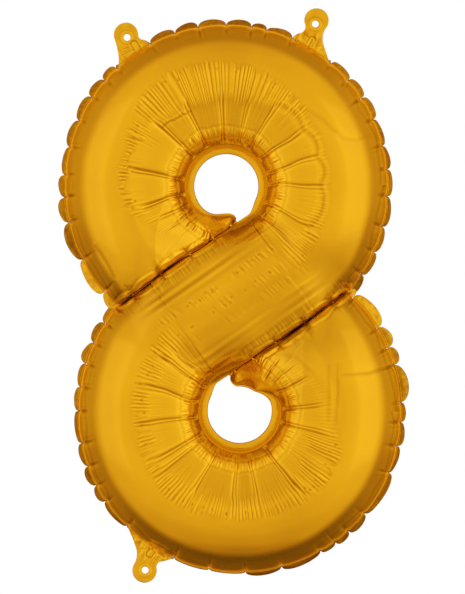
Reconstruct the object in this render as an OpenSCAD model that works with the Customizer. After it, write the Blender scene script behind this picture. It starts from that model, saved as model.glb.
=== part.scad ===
// Foil number balloon, the figure 8, air filled.
// Millimetres. +Z is up and the front faces -Y. The seam plane is Y = 0.
// The origin is the centre of the hang hole in the top right tab.
//
// The air chamber is one S-shaped tube: a loop round each eye, joined by a diagonal band.
// Each loop ends in a lobe that lies against the band, and a slit parts the two.
// The lower half is the upper half turned by 180 degrees about the figure's centre.

/* [Figure] */
// Distance between the centres of the two eyes
eye_spacing = 143.4; // [138:0.1:148]
// Sideways lean of each eye from the centreline
eye_lean = 4.3; // [0:0.1:6]
// Radius of each eye at the film's free edge
eye_r = 20.5; // [18:0.1:23]
// Radius of the outer seam line round each loop
loop_r = 102.7; // [100:0.1:105]
// Width of the diagonal band between its seam lines
band_w = 71; // [68:0.5:74]

/* [Film and seals] */
// Thickness of one ply of film
film_t = 0.05; // [0.04:0.01:0.1]
// Width of the sealed margin round each eye
eye_margin = 5.2; // [4:0.1:6]
// Greatest width of the scalloped outer margin
outer_margin = 3.9; // [3:0.1:5]
// Scallops in a full turn of the outer margin
scallops = 36; // [24:2:48]
// Width of the cut along each slit
slit_cut = 0.6; // [0.3:0.1:1]

/* [Hang tabs] */
// Radius of each punched hang hole
hang_hole_r = 2.25; // [1.5:0.05:3]
// Radius of a tab's round head
head_r = 7.8; // [6:0.1:9]
// Angle of the top left tab round the upper eye
top_left_at = 123.8; // [118:0.1:128]
// Angle of the top right tab round the upper eye
top_right_at = 58.4; // [52:0.1:64]
// Angle of the bottom tab and the valve round the lower eye
bottom_at = 236.5; // [230:0.1:242]

/* [Valve] */
// Width of the valve's two films
valve_w = 12; // [8:0.5:14]
// Length of the valve's two films
valve_l = 46; // [30:1:55]
// Thickness of one valve film
valve_t = 0.03; // [0.02:0.01:0.04]

/* [Hidden] */
$fn = 64;

gold = [0.86, 0.60, 0.08];
deep_gold = [0.72, 0.46, 0.06];
clear_film = [0.85, 0.87, 0.88];

relief = 0.1;                 // gap between a film's edge and the sealed margin beside it
hinge_gap = 0.2;              // gap between a tab's root and the margin it folds on
step = 6;                     // turn between the chamber's cross-sections, in degrees
lobe_step = 3;                // the same in a lobe, where the chamber narrows
straight_steps = 4;           // cross-sections along half of the band
ribs = 10;                    // strips across each film
outline_step = 1.25;          // turn between the points of a sealed margin
seam_outline_step = 3;        // turn between the points of a seam line
arc_step = 8;                 // turn between the points of a tab's outline
band_until = 80;              // turn up to which the band's far seam can bound the loop
lobe_from = 272;              // turn from which the slit's seam can bound the lobe
fine_from = 279;              // turn from which the cross-sections are closer together
section_from = 282;           // turn from which a section spans only the lobe's own width
tongue_from = 270;            // turn at which the eye's seam starts to reach in for the tongue
tongue_turn = 70;             // turn over which it does so
tip_turn = 12;                // turn over which the tongue's end rounds off
lobe_setback = 1.8;           // from the slit's middle line to the lobe's seam
strip_end = 84;               // turn at which the slit's seam lines are past the waist
tongue_reach = 5.2;           // how far a lobe's tongue pushes into its eye
tongue_end = 341;             // turn at which the tongue ends
tongue_margin = 0.25;         // share of the eye's margin that is left at the tongue
tie_w = 1.6;                  // length of each tie that is left across a slit
ties = [12, 26, 44, 66, 96];  // places of the ties along the slit, the last one at the waist
slit_mouth = 4;               // where the cut opens into the eye
neck_w = valve_w + 1.4;       // opening that the valve goes through
neck_overlap = 1.2;           // how far a neck ply laps the seal on each side
air_gap = 0.01;               // between films that lie on each other

// Upper eye's centre, as X and Z from the figure's centre. The lower eye is at minus this.
eye = [-eye_lean, eye_spacing / 2];
eye_seam_r = eye_r + eye_margin;
edge_r = loop_r + outer_margin;
full_w = loop_r - eye_seam_r;
band_r = eye_seam_r + band_w / 2;
far_r = eye_seam_r + band_w;
band_angle = acos(band_r / norm(eye)) + atan(eye_lean / eye.y);
along = [cos(band_angle), sin(band_angle)];
across = [-sin(band_angle), cos(band_angle)];
start_angle = band_angle - 90;
half_straight = eye * along;
// The waist is where the two loops' outer seam lines cross.
waist_half = acos(norm(eye) / loop_r);
to_other_eye = atan2(-eye.y, -eye.x);
waist_turn = to_other_eye + waist_half - start_angle;
slit_r = 2 * band_r - loop_r * cos(waist_turn);
lobe_r = slit_r - lobe_setback;

function ease(x) = let (c = min(1, max(0, x))) c * c * (3 - 2 * c);
function from_eye(p, r) = eye + r * [cos(start_angle + p), sin(start_angle + p)];
function mirrored(points) = [for (q = points) -q];
function reversed(list) = [for (i = [len(list) - 1 : -1 : 0]) list[i]];

// Seam lines of a loop, by the turn p from the band's start, as distances from the eye.
function seam_in(p) = eye_seam_r - tongue_reach * ease((p - tongue_from) / tongue_turn);
function seam_out(p) = min(loop_r, p < band_until ? far_r / cos(p) : loop_r,
                           p > lobe_from ? lobe_r / cos(p) : loop_r);

// Half depth of the chamber. Each seam line nearby holds it down, so in a plain stretch
// the section is a half circle, and it sinks towards the corners and the tongue. The turns
// in loop_depth are those over which each of the four seams takes hold or lets go.
function holds(d, weight) = weight / max(d, 1e-6);
function bulge(width, pull) = sqrt(max(0, width) / pull);
function local_width(p) = p < section_from
    ? band_w + (full_w - band_w) * ease(p / 40)
    : seam_out(p) - seam_in(p);
function loop_depth(p, r, t) = bulge(local_width(p) - 2 * t,
    holds(r - seam_in(p) - t, 1)
    + holds(loop_r - r - t, ease(p / 25))
    + holds(far_r - r * cos(p) - t, 1 - ease((p - 20) / 60))
    + holds(lobe_r - r * cos(p) - t, ease((p - 200) / 60)));
function band_depth(q, t) = bulge(band_w - 2 * t,
    holds(band_w / 2 - q - t, 1) + holds(band_w / 2 + q - t, 1));
function tip(p) = sqrt(1 - ease((p - tongue_end + tip_turn) / tip_turn));

// Share of the way across a section, closer together near the seams.
function rib(j) = (1 - cos(180 * j / ribs)) / 2;

// A row of points across the chamber, from the eye's side out, on the film's outer or inner
// face. The outer face is never nearer to the inner one than the film's thickness.
function face_depth(outside, deep, inner) = outside ? max(deep, inner + film_t) : inner;
function loop_row(p, outside) = [
    for (j = [0 : ribs])
        let (t = outside ? 0 : film_t, a = seam_in(p) + t, b = seam_out(p) - t,
             r = a + (b - a) * rib(j), q = from_eye(p, r))
        [q.x, -face_depth(outside, tip(p) * loop_depth(p, r, 0), tip(p) * loop_depth(p, r, film_t)), q.y]];
function band_row(s, outside) = [
    for (j = [0 : ribs])
        let (a = band_w / 2 - (outside ? 0 : film_t), v = a - 2 * a * rib(j), q = s * along + v * across)
        [q.x, -face_depth(outside, band_depth(v, 0), band_depth(v, film_t)), q.y]];

// Turns of the cross-sections along one loop, to the tongue's end.
turns = concat([for (p = [0 : step : fine_from - lobe_step]) p],
               [for (p = [fine_from : lobe_step : tongue_end - 1]) p], [tongue_end]);
function half_rows(outside) = concat(
    [for (i = [0 : straight_steps - 1]) band_row(half_straight * i / straight_steps, outside)],
    [for (p = turns) loop_row(p, outside)]);
// The whole S: the upper half backwards, then the lower half, which is the upper one turned.
function turned_row(row) = [for (j = [ribs : -1 : 0]) [-row[j].x, row[j].y, -row[j].z]];
function all_rows(outside) = let (upper = half_rows(outside)) concat(
    reversed(upper), [for (i = [1 : len(upper) - 1]) turned_row(upper[i])]);

module film_shell() {
    outside = all_rows(true);
    inside = all_rows(false);
    rows = len(outside);
    ring = 2 * (ribs + 1);
    points = [for (i = [0 : rows - 1]) each concat(outside[i], reversed(inside[i]))];
    sides = [for (i = [0 : rows - 2], k = [0 : ring - 1])
        let (a = i * ring + k, b = i * ring + (k + 1) % ring)
        each k <= ribs ? [[a, b, b + ring], [a, b + ring, a + ring]]
                       : [[a, b, a + ring], [b, b + ring, a + ring]]];
    function cap(base) = [for (j = [0 : ribs - 1])
        let (a = base + j, b = base + ring - 1 - j)
        each [[a, b, b - 1], [a, b - 1, a + 1]]];
    last = (rows - 1) * ring;
    polyhedron(points, concat(sides, cap(0), [for (f = cap(last)) reversed(f)]), convexity = 10);
}

// The figure's frame, with its centre as the origin, to the part's frame.
module in_part() translate([-top_right_hole.x, 0, -top_right_hole.y]) children();
module in_seam_plane(low, high) translate([0, high, 0]) rotate([90, 0, 0]) linear_extrude(high - low) children();
module lower_half() rotate([0, 180, 0]) children();

// Distance of the outer margin's edge from the eye at angle a: uneven scallops, and a
// straight edge along the root of each tab, given as its place and the reach of its feet.
function scallop(a) = pow(abs(sin(scallops / 2 * a + 50 * sin(3 * a) + 30 * sin(5 * a + 40))), 0.6);
function straight_edge(a, tab) = abs(a - tab.x) < tab.y ? edge_r / cos(a - tab.x) : 0;
function margin_r(a, tabs) = max([loop_r + outer_margin * (0.3 + 0.7 * scallop(a)),
                                  for (tab = tabs) straight_edge(a, tab)]);
waist_from = start_angle + waist_turn;
waist_to = to_other_eye - waist_half + 360;
function loop_outline(tabs) = concat([eye], [for (a = [waist_from : outline_step : waist_to])
    eye + margin_r(a, tabs) * [cos(a), sin(a)]]);

module both_loops(r) {
    translate(eye) circle(r, $fn = 240);
    translate(-eye) circle(r, $fn = 240);
}
module outer_seal_plan() {
    difference() {
        union() {
            polygon(loop_outline([[top_left_at, 6], [top_right_at, 8]]));
            polygon(mirrored(loop_outline([[bottom_at - 180, 9]])));
        }
        both_loops(loop_r + relief);
        neck_gap();
    }
}

// The gap in the outer seal that the valve goes through.
module neck_gap() at_lower_edge(bottom_at) square([neck_w, 4 * outer_margin], center = true);

// Places children with X along the margin and Y outwards, at the outer edge of a loop.
module at_upper_edge(a) translate(eye + edge_r * [cos(a), sin(a)]) rotate(a - 90) children();
module at_lower_edge(a) translate(-eye + edge_r * [cos(a), sin(a)]) rotate(a - 90) children();

// Margin round an eye and down both sides of its slit, with a few ties left across the cut.
function eye_free_edge(p) = p > tongue_from
    ? seam_in(p) - eye_margin * (1 - (1 - tongue_margin) * ease((p - tongue_from) / 60))
    : eye_r + (slit_r + slit_cut / 2 - eye_r) * (1 - ease(p / 30));
function slit_point(x, v) = eye - x * along + (slit_r + v) * [cos(start_angle), sin(start_angle)];
module slot(from, to) {
    polygon([slit_point(from, -slit_cut / 2), slit_point(to, -slit_cut / 2),
             slit_point(to, slit_cut / 2), slit_point(from, slit_cut / 2)]);
}
module eye_seal_plan() {
    difference() {
        intersection() {
            polygon(concat(
                [for (p = [360 - strip_end, tongue_end]) from_eye(p, (lobe_r + relief) / cos(p))],
                [for (p = [tongue_end : -seam_outline_step : 2]) from_eye(p, seam_in(p) - relief)],
                [for (p = [0, -strip_end]) from_eye(p, (eye_seam_r - relief) / cos(p))]));
            both_loops(loop_r);
        }
        polygon(concat(
            [for (p = [0 : seam_outline_step : tongue_end]) from_eye(p, eye_free_edge(p))],
            [slit_point(slit_mouth + 2, -slit_cut / 2), slit_point(slit_mouth + 2, slit_cut / 2)]));
        for (i = [0 : len(ties) - 1])
            slot(i == 0 ? slit_mouth : ties[i - 1] + tie_w / 2, ties[i] - tie_w / 2);
    }
}

// A flat tab: a round head with its hang hole, and a root that flares into the margin at
// both feet. Each flare is an arc that touches the root's line and the head.
function flare_r(foot, head) = let (dx = foot - head.x, dy = head.y - hinge_gap)
    (dx * dx + dy * dy - head_r * head_r) / (2 * (dy + head_r));
function flare_centre(foot, head) = [foot, hinge_gap + flare_r(foot, head)];
function toward(a, b) = atan2(b.y - a.y, b.x - a.x);
function arc(c, r, from, to, skip) = let (n = ceil(abs(to - from) / arc_step))
    [for (i = [skip : n - skip]) let (a = from + (to - from) * i / n) c + r * [cos(a), sin(a)]];
function tab_outline(feet, head) =
    let (left = flare_centre(feet[0], head), right = flare_centre(feet[1], head))
    concat(arc(right, flare_r(feet[1], head), 270, (toward(right, head) + 360) % 360, 0),
           arc(head, head_r, toward(head, right), toward(head, left) + 360, 1),
           arc(left, flare_r(feet[0], head), toward(left, head), -90, 0));
module tab_plan(feet, head, hole) {
    difference() {
        polygon(tab_outline(feet, head));
        translate(hole) circle(hang_hole_r);
    }
}

// Each tab's feet along its root, the centre of its head and the centre of its hang hole
top_left = [[-8.8, 9.8], [0.6, 9.4], [0.2, 7.7]];
top_right = [[-14, 13.2], [-6.4, 13.8], [-5.8, 11.4]];
bottom = [[-14, 15], [-5.6, 12], [-5.8, 11.6]];
// Centre of the top right hang hole, as X and Z from the figure's centre
top_right_hole = eye + (edge_r + top_right[2].y) * [cos(top_right_at), sin(top_right_at)]
    + top_right[2].x * [sin(top_right_at), -cos(top_right_at)];

module front_film() { color(gold) in_part() film_shell(); }
module back_film() { color(gold) in_part() mirror([0, 1, 0]) film_shell(); }
module outer_seal() { color(deep_gold) in_part() in_seam_plane(-film_t, film_t) outer_seal_plan(); }
module upper_eye_seal() { color(gold) in_part() in_seam_plane(-film_t, film_t) eye_seal_plan(); }
module lower_eye_seal() { color(gold) in_part() lower_half() in_seam_plane(-film_t, film_t) eye_seal_plan(); }

module tab() { color(gold) in_part() in_seam_plane(-film_t, film_t) children(); }
module top_left_tab() {
    tab() at_upper_edge(top_left_at) tab_plan(top_left[0], top_left[1], top_left[2]);
}
module top_right_tab() {
    tab() at_upper_edge(top_right_at) tab_plan(top_right[0], top_right[1], top_right[2]);
}
module bottom_tab() {
    tab() at_lower_edge(bottom_at) tab_plan(bottom[0], bottom[1], bottom[2]);
}

module neck_ply_plan() {
    at_lower_edge(bottom_at) translate([0, -outer_margin / 2])
        square([neck_w + 2 * neck_overlap, outer_margin - 2 * relief], center = true);
}
module neck_front_ply() {
    color(gold) in_part() in_seam_plane(-2 * film_t - air_gap, -film_t - air_gap) neck_ply_plan();
}
module neck_back_ply() {
    color(gold) in_part() in_seam_plane(film_t + air_gap, 2 * film_t + air_gap) neck_ply_plan();
}

module valve_plan() {
    at_lower_edge(bottom_at) translate([0, -valve_l / 2 - relief]) square([valve_w, valve_l], center = true);
}
module valve_front_film() {
    color(clear_film) in_part() in_seam_plane(-air_gap - valve_t, -air_gap) valve_plan();
}
module valve_back_film() {
    color(clear_film) in_part() in_seam_plane(air_gap, air_gap + valve_t) valve_plan();
}

front_film();
back_film();
outer_seal();
upper_eye_seal();
lower_eye_seal();
top_left_tab();
top_right_tab();
bottom_tab();
neck_front_ply();
neck_back_ply();
valve_front_film();
valve_back_film();
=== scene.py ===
import math
import bpy
import numpy as np
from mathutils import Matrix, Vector
from mathutils.geometry import delaunay_2d_cdt

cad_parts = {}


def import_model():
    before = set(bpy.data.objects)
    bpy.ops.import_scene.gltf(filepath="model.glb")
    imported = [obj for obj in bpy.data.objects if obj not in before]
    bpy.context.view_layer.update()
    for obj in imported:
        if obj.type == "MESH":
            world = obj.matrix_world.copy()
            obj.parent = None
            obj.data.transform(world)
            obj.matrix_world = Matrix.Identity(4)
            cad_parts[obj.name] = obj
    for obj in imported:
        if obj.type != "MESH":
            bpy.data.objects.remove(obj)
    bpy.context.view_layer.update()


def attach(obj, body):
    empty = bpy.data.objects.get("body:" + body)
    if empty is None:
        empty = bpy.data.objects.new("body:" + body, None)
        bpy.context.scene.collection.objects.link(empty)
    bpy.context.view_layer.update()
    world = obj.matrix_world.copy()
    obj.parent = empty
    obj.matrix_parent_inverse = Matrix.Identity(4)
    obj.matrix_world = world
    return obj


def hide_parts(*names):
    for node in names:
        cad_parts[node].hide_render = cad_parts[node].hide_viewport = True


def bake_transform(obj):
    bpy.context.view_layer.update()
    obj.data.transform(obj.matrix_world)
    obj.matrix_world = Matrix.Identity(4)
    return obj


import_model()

MM = 0.001
SHOT = (465, 594)                       # the frame, in px
MM_PER_PX = 0.6387                      # at the seam plane

# ---- the figure's plan, in mm
# X and Z from the figure's centre, which is halfway between the two eyes.
EYE = np.array([-4.3, 71.7])
EYE_R, EYE_MARGIN = 20.5, 5.2
LOOP_R, OUTER_MARGIN = 102.7, 3.9
BAND_W = 71.0
EDGE_R = LOOP_R + OUTER_MARGIN
SEAM_R = EYE_R + EYE_MARGIN
TONGUE_END = 342.0
NOSE_TURN = 13                          # over which a lobe's tip closes
BAND_UNTIL, LOBE_FROM = 80, 272         # turns between which the loop's outer side is the outer seam
SLIT_FROM = 200                         # the turn from which a loop's side runs along its slit
# How each lobe's tongue pushes into its eye, by loop: reach, turn it starts at, turn over which
# it does so, and turn over which the eye's margin shrinks
TONGUES = {1: (7.3, 258, 68, 50), -1: (9.2, 245, 45, 40)}
HOLE_R, HEAD_R, HINGE_GAP = 2.25, 7.8, 0.2
CREST = (SEAM_R + LOOP_R) / 2           # the top of the tube in a plain stretch of loop

rad = np.radians


def polar(a):
    """The unit vector at a degrees."""
    return np.array([math.cos(math.radians(a)), math.sin(math.radians(a))])


eye_d = np.linalg.norm(EYE)
band_r = SEAM_R + BAND_W / 2
far_r = SEAM_R + BAND_W
band_angle = math.degrees(math.acos(band_r / eye_d)) + math.degrees(math.atan(-EYE[0] / EYE[1]))
START = band_angle - 90                 # places round an eye are turns from here
FIRST = polar(START)
ALONG = polar(band_angle)
ACROSS = np.array([-ALONG[1], ALONG[0]])
half_straight = float(EYE @ ALONG)
waist_half = math.degrees(math.acos(eye_d / LOOP_R))
to_other = math.degrees(math.atan2(-EYE[1], -EYE[0]))
waist_turn = to_other + waist_half - START
slit_r = 2 * band_r - LOOP_R * math.cos(math.radians(waist_turn))
WAIST_FROM, WAIST_TO = START + waist_turn, to_other - waist_half + 360

TABS = {  # body: (loop, place round it, feet, head, hang hole, feet at the seam)
    "top_left_tab": (1, 123.8, (-8.8, 9.8), (0.6, 9.4), (0.2, 7.7), (-15.0, 10.6)),
    "top_right_tab": (1, 58.4, (-14.0, 13.2), (-6.4, 13.8), (-5.8, 11.4), (-13.9, 14.4)),
    "bottom_tab": (-1, 236.5, (-14.0, 15.0), (-5.6, 12.0), (-5.8, 11.6), (-16.6, 19.0)),
}


def edge_frame(loop, a):
    """A point on the outer margin's edge, and the directions along it and outwards."""
    out = polar(a)
    return loop * EYE + EDGE_R * out, np.array([out[1], -out[0]]), out


base, along, out = edge_frame(*TABS["top_right_tab"][:2])
hole = TABS["top_right_tab"][4]
ORIGIN = base + hole[0] * along + hole[1] * out    # the hang hole that the part hangs by


def round_eye(p, r):
    """Points in the plan at turn p and radius r round the upper eye."""
    return EYE[0] + r * np.cos(rad(START + p)), EYE[1] + r * np.sin(rad(START + p))


def world(x, y, z):
    """From the figure's plan, in mm, to the part's frame, in m."""
    return np.stack([(x - ORIGIN[0]) * MM, y * MM, (z - ORIGIN[1]) * MM], -1)


def ease(x):
    """From 0 at 0 to 1 at 1, level at both."""
    c = np.clip(x, 0, 1)
    return c * c * (3 - 2 * c)


def fade(x):
    """The same, from 1 to 0."""
    return 1 - ease(x)


def bell(x, w):
    """1 where x is 0, falling off smoothly over w either side."""
    return np.exp(-(x / w) ** 2)


def spot(x, wx, y, wy):
    """The same in two directions."""
    return np.exp(-(x / wx) ** 2 - (y / wy) ** 2)


def mound(f):
    """0 at both ends of a stretch and 1 in its middle."""
    return np.clip(4 * f * (1 - f), 0, 1)


def scallop(f):
    """How far the seam swells out between two pinches, in mm, and how hard it is pinched at each."""
    g = mound(f)
    return 0.7 * g ** 0.5, (1 - g) ** 14


def seam_in(p, loop):
    """The radius of the eye's seam at turn p."""
    reach, start, over, _ = TONGUES[loop]
    return SEAM_R - reach * ease((p - start) / over)


# Along the slits the film bulges out over its own seal, so that the two sides nearly touch.
SLIT_GAP = 0.06
COVER = SEAM_R - slit_r - SLIT_GAP
BAND_HALF = BAND_W / 2 + COVER
far_film, lobe_film = far_r + COVER, slit_r - SLIT_GAP


def nose_at(p):
    """1 along a loop, rounding down to 0 at the lobe's tip."""
    return np.sqrt(1 - np.clip((p - TONGUE_END + NOSE_TURN) / NOSE_TURN, 0, 1) ** 2)


def film_edges(p, loop):
    """The film's two edges round an eye; they close in a rounded nose at the lobe's tip."""
    a = seam_in(p, loop) - COVER * fade(p / 16)
    c = np.cos(rad(p))
    with np.errstate(divide="ignore"):
        early = np.where(p < BAND_UNTIL, far_film / c, LOOP_R)
        late = np.where(p > LOBE_FROM, lobe_film / c, LOOP_R)
    b = np.minimum(LOOP_R, np.minimum(early, late))
    nose = nose_at(p)
    middle = a + 0.6 * (b - a)
    return middle - (middle - a) * nose, middle + (b - middle) * nose


def film_in(p, loop):
    return film_edges(p, loop)[0]


def holds(d, w):
    """How hard a seam at distance d holds the film down."""
    return w / np.maximum(d, 1e-6)


TIES = np.array([12, 26, 44, 66, 88])
EYE_BULGE = 6.0


def along_slit(x, z):
    """Distance along the upper slit from its mouth, and distance from it towards the band."""
    px, pz = x - EYE[0], z - EYE[1]
    return -(px * ALONG[0] + pz * ALONG[1]), px * FIRST[0] + pz * FIRST[1] - slit_r


def touch(t, size=12.0, ends=(2.0, 36.0, 80.0, 103.0)):
    """Along a slit the two sides press together above it, as if each seam lay this far beyond."""
    a, b, c, d = ends
    return size * ease((t - a) / (b - a)) * fade((t - c) / (d - c))


def crevice(place, here):
    """The film rounds over into the crevice along a slit, most of all between its ties."""
    t, off = place
    gap = np.min([abs(t - tk) for tk in TIES], axis=0)
    wide = 0.4 + 0.55 * ease(gap / 9)
    along = ease((t + 1) / 8) * fade((t - 98) / 6)
    return 1 - 0.12 * np.exp(-np.abs(off) / wide) * along * here


def loop_depth(p, r, loop):
    """Half the chamber's thickness round an eye: a round tube held down by whichever seams are near."""
    full, band = LOOP_R - SEAM_R, 2 * BAND_HALF
    c, (x, z) = np.cos(rad(p)), round_eye(p, r)
    this_slit, other_slit = along_slit(x, z), along_slit(-x, -z)
    by_lobe, by_band = touch(this_slit[0]) * (p > SLIT_FROM), touch(other_slit[0]) * (p < BAND_UNTIL)
    to_eye = r - film_in(p, loop) + EYE_BULGE * ease(p / 30) * fade((p - 288) / 36)
    to_edge, to_far, to_slit = LOOP_R - r, far_film - r * c + by_band, lobe_film - r * c + by_lobe
    edge, far, slit = ease(p / 25), fade((p - 20) / 60), ease((p - SLIT_FROM) / 60)
    # next to the band, as the band's own section
    pull = holds(to_eye, 1) + holds(to_edge, edge) + holds(to_far, far)
    width = band + (full - band) * ease(p / 40)
    near_band = np.sqrt(width / pull) * width / (width + by_band * far)
    # everywhere else, a circular section over the distance to the nearest seam
    near = sum(much * np.maximum(away, 1e-3) ** -3.0 for away, much in (
        (to_eye, 1), (to_edge, edge), (to_far, far), (to_slit, slit))) ** (-1 / 3)
    # and in the narrowing lobe, over its own width there
    to_out = np.minimum(to_slit, np.where(p > 320, film_edges(p, loop)[1] - r + by_lobe, 1e3))
    lobe = np.minimum(full, 1.12 * (np.maximum(to_eye, 0) + np.maximum(to_out, 0)))
    width = full + (lobe - full) * ease((p - 205) / 88)
    near = np.minimum(near, width / 2)
    round_loop = np.sqrt(near * (width - near))
    y = near_band + (round_loop - near_band) * ease(p / 25)
    y = y * nose_at(p)
    y = y * crevice(this_slit, p > SLIT_FROM) * crevice(other_slit, p < BAND_UNTIL)
    y[:, 0] = y[:, -1] = 0
    return y


# ---- smooth seeded noise
def noise1(x, seed):
    """Value noise of x with unit wavelength, from -1 to 1."""
    i = np.floor(x).astype(int)
    f = ease(x - i)
    table = np.random.default_rng(seed).uniform(-1, 1, 4096)
    return table[i % 4096] * (1 - f) + table[(i + 1) % 4096] * f


def noise2(x, y, seed):
    i, j = np.floor(x).astype(int), np.floor(y).astype(int)
    u, v = ease(x - i), ease(y - j)
    table = np.random.default_rng(seed).uniform(-1, 1, (256, 256))

    def at(di, dj):
        return table[(i + di) % 256, (j + dj) % 256]

    return ((at(0, 0) * (1 - u) + at(1, 0) * u) * (1 - v)
            + (at(0, 1) * (1 - u) + at(1, 1) * u) * v)


# ---- creases, by turn round each eye
# (turn, inner radius, outer radius, depth in mm)
UPPER_CREASES = [(4, 27, 66, .22), (13, 27, 58, .35), (29, 27, 64, .5), (55, 27, 64, .42), (72, 27, 63, .45),
                 (90.5, 26, 62, .5), (113, 26, 64, .55), (130, 27, 58, .42), (147, 27, 60, .55),
                 (170, 26, 62, .6), (194, 26, 62, .6), (225, 27, 64, .75), (248, 27, 57, .85),
                 (262, 27, 50, .45), (274, 26, 44, .3), (284, 26, 40, .25)]
LOWER_CREASES = [(4, 27, 66, .22), (11, 27, 60, .35), (20, 27, 66, .5), (39, 27, 66, .55), (61, 27, 66, .55),
                 (83, 27, 64, .55), (93, 28, 66, .45), (115, 28, 62, .45), (141, 28, 60, .45),
                 (157, 28, 58, .4), (183, 27, 68, .65), (220, 27, 58, .5), (240, 28, 54, .5),
                 (262, 26, 50, .45), (276, 27, 44, .35), (288, 26, 42, .35)]
# The fringe of fine folds on the crest: (turn, where it starts, where it stops, how strong it is)
UPPER_FRINGE = [(0, 50, 70, .9), (20, 52, 66, .7), (40, 55, 63, .45), (55, 56, 63, .3), (72, 60, 65, .25),
                (90, 60, 66, .25), (100, 57, 68, .6), (113, 53, 71, .9), (130, 51, 74, 1),
                (147, 51, 76, 1), (170, 51, 77, 1), (190, 54, 76, 1), (200, 56, 69, .9),
                (212, 60, 65.5, 1.2), (236, 60, 65, 1.3), (250, 57, 63, .9), (256, 46, 58, .3),
                (275, 36, 48, .16), (300, 32, 44, .06), (341, 30, 40, 0)]
LOWER_FRINGE = [(0, 50, 70, .8), (20, 52, 68, .8), (40, 54, 67, .7), (60, 56, 66, .7), (83, 56, 67, .8),
                (100, 54, 69, .8), (125, 52, 68, .7), (150, 52, 66, .68), (183, 52, 67, .8),
                (200, 43, 68, .84), (215, 42, 66, .75), (226, 48, 60, .12), (255, 42, 54, .14),
                (280, 34, 46, .1), (305, 30, 40, .06), (341, 28, 38, 0)]
FOLD_TURN = 2.15                        # from one fine fold to the next
# Pinches of the outer seam, as places round each eye in degrees
UPPER_PINCHES = [-40, -33, -24, -14.5, -3.5, 6, 14.5, 24.5, 33, 41, 49.5, 66, 75.5, 81, 90,
                 100, 108.5, 118, 133, 139, 146.5, 156, 166, 176, 184, 193, 207, 221, 227.5]
LOWER_PINCHES = [140, 147, 155, 163, 171.5, 180, 191.5, 200, 207.5, 214, 225.5, 246, 259,
                 272, 285, 300, 306, 312, 320.5, 337.5, 347.5, 356, 3, 16.5, 23, 31, 45, 52]
# Where the film just inside the outer seam creases into narrow panels: (place, how strongly)
UPPER_PANELS = [(-45, 1), (20, 1), (34, .5), (50, .15), (190, .2), (200, .9), (232, .9)]
LOWER_PANELS = [(135, .2), (175, .5), (190, 1), (240, .8), (262, .3), (290, .3), (320, .8), (412, 1)]
LOOPS = {1: (UPPER_CREASES, UPPER_FRINGE, UPPER_PINCHES, UPPER_PANELS, START),
         -1: (LOWER_CREASES, LOWER_FRINGE, LOWER_PINCHES, LOWER_PANELS, START + 180)}


def ridge_line(s, w):
    """A rounded V, 1 on the line and falling off over w either side."""
    return np.exp(-np.sqrt(s * s + (0.25 * w) ** 2) / w)


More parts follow.
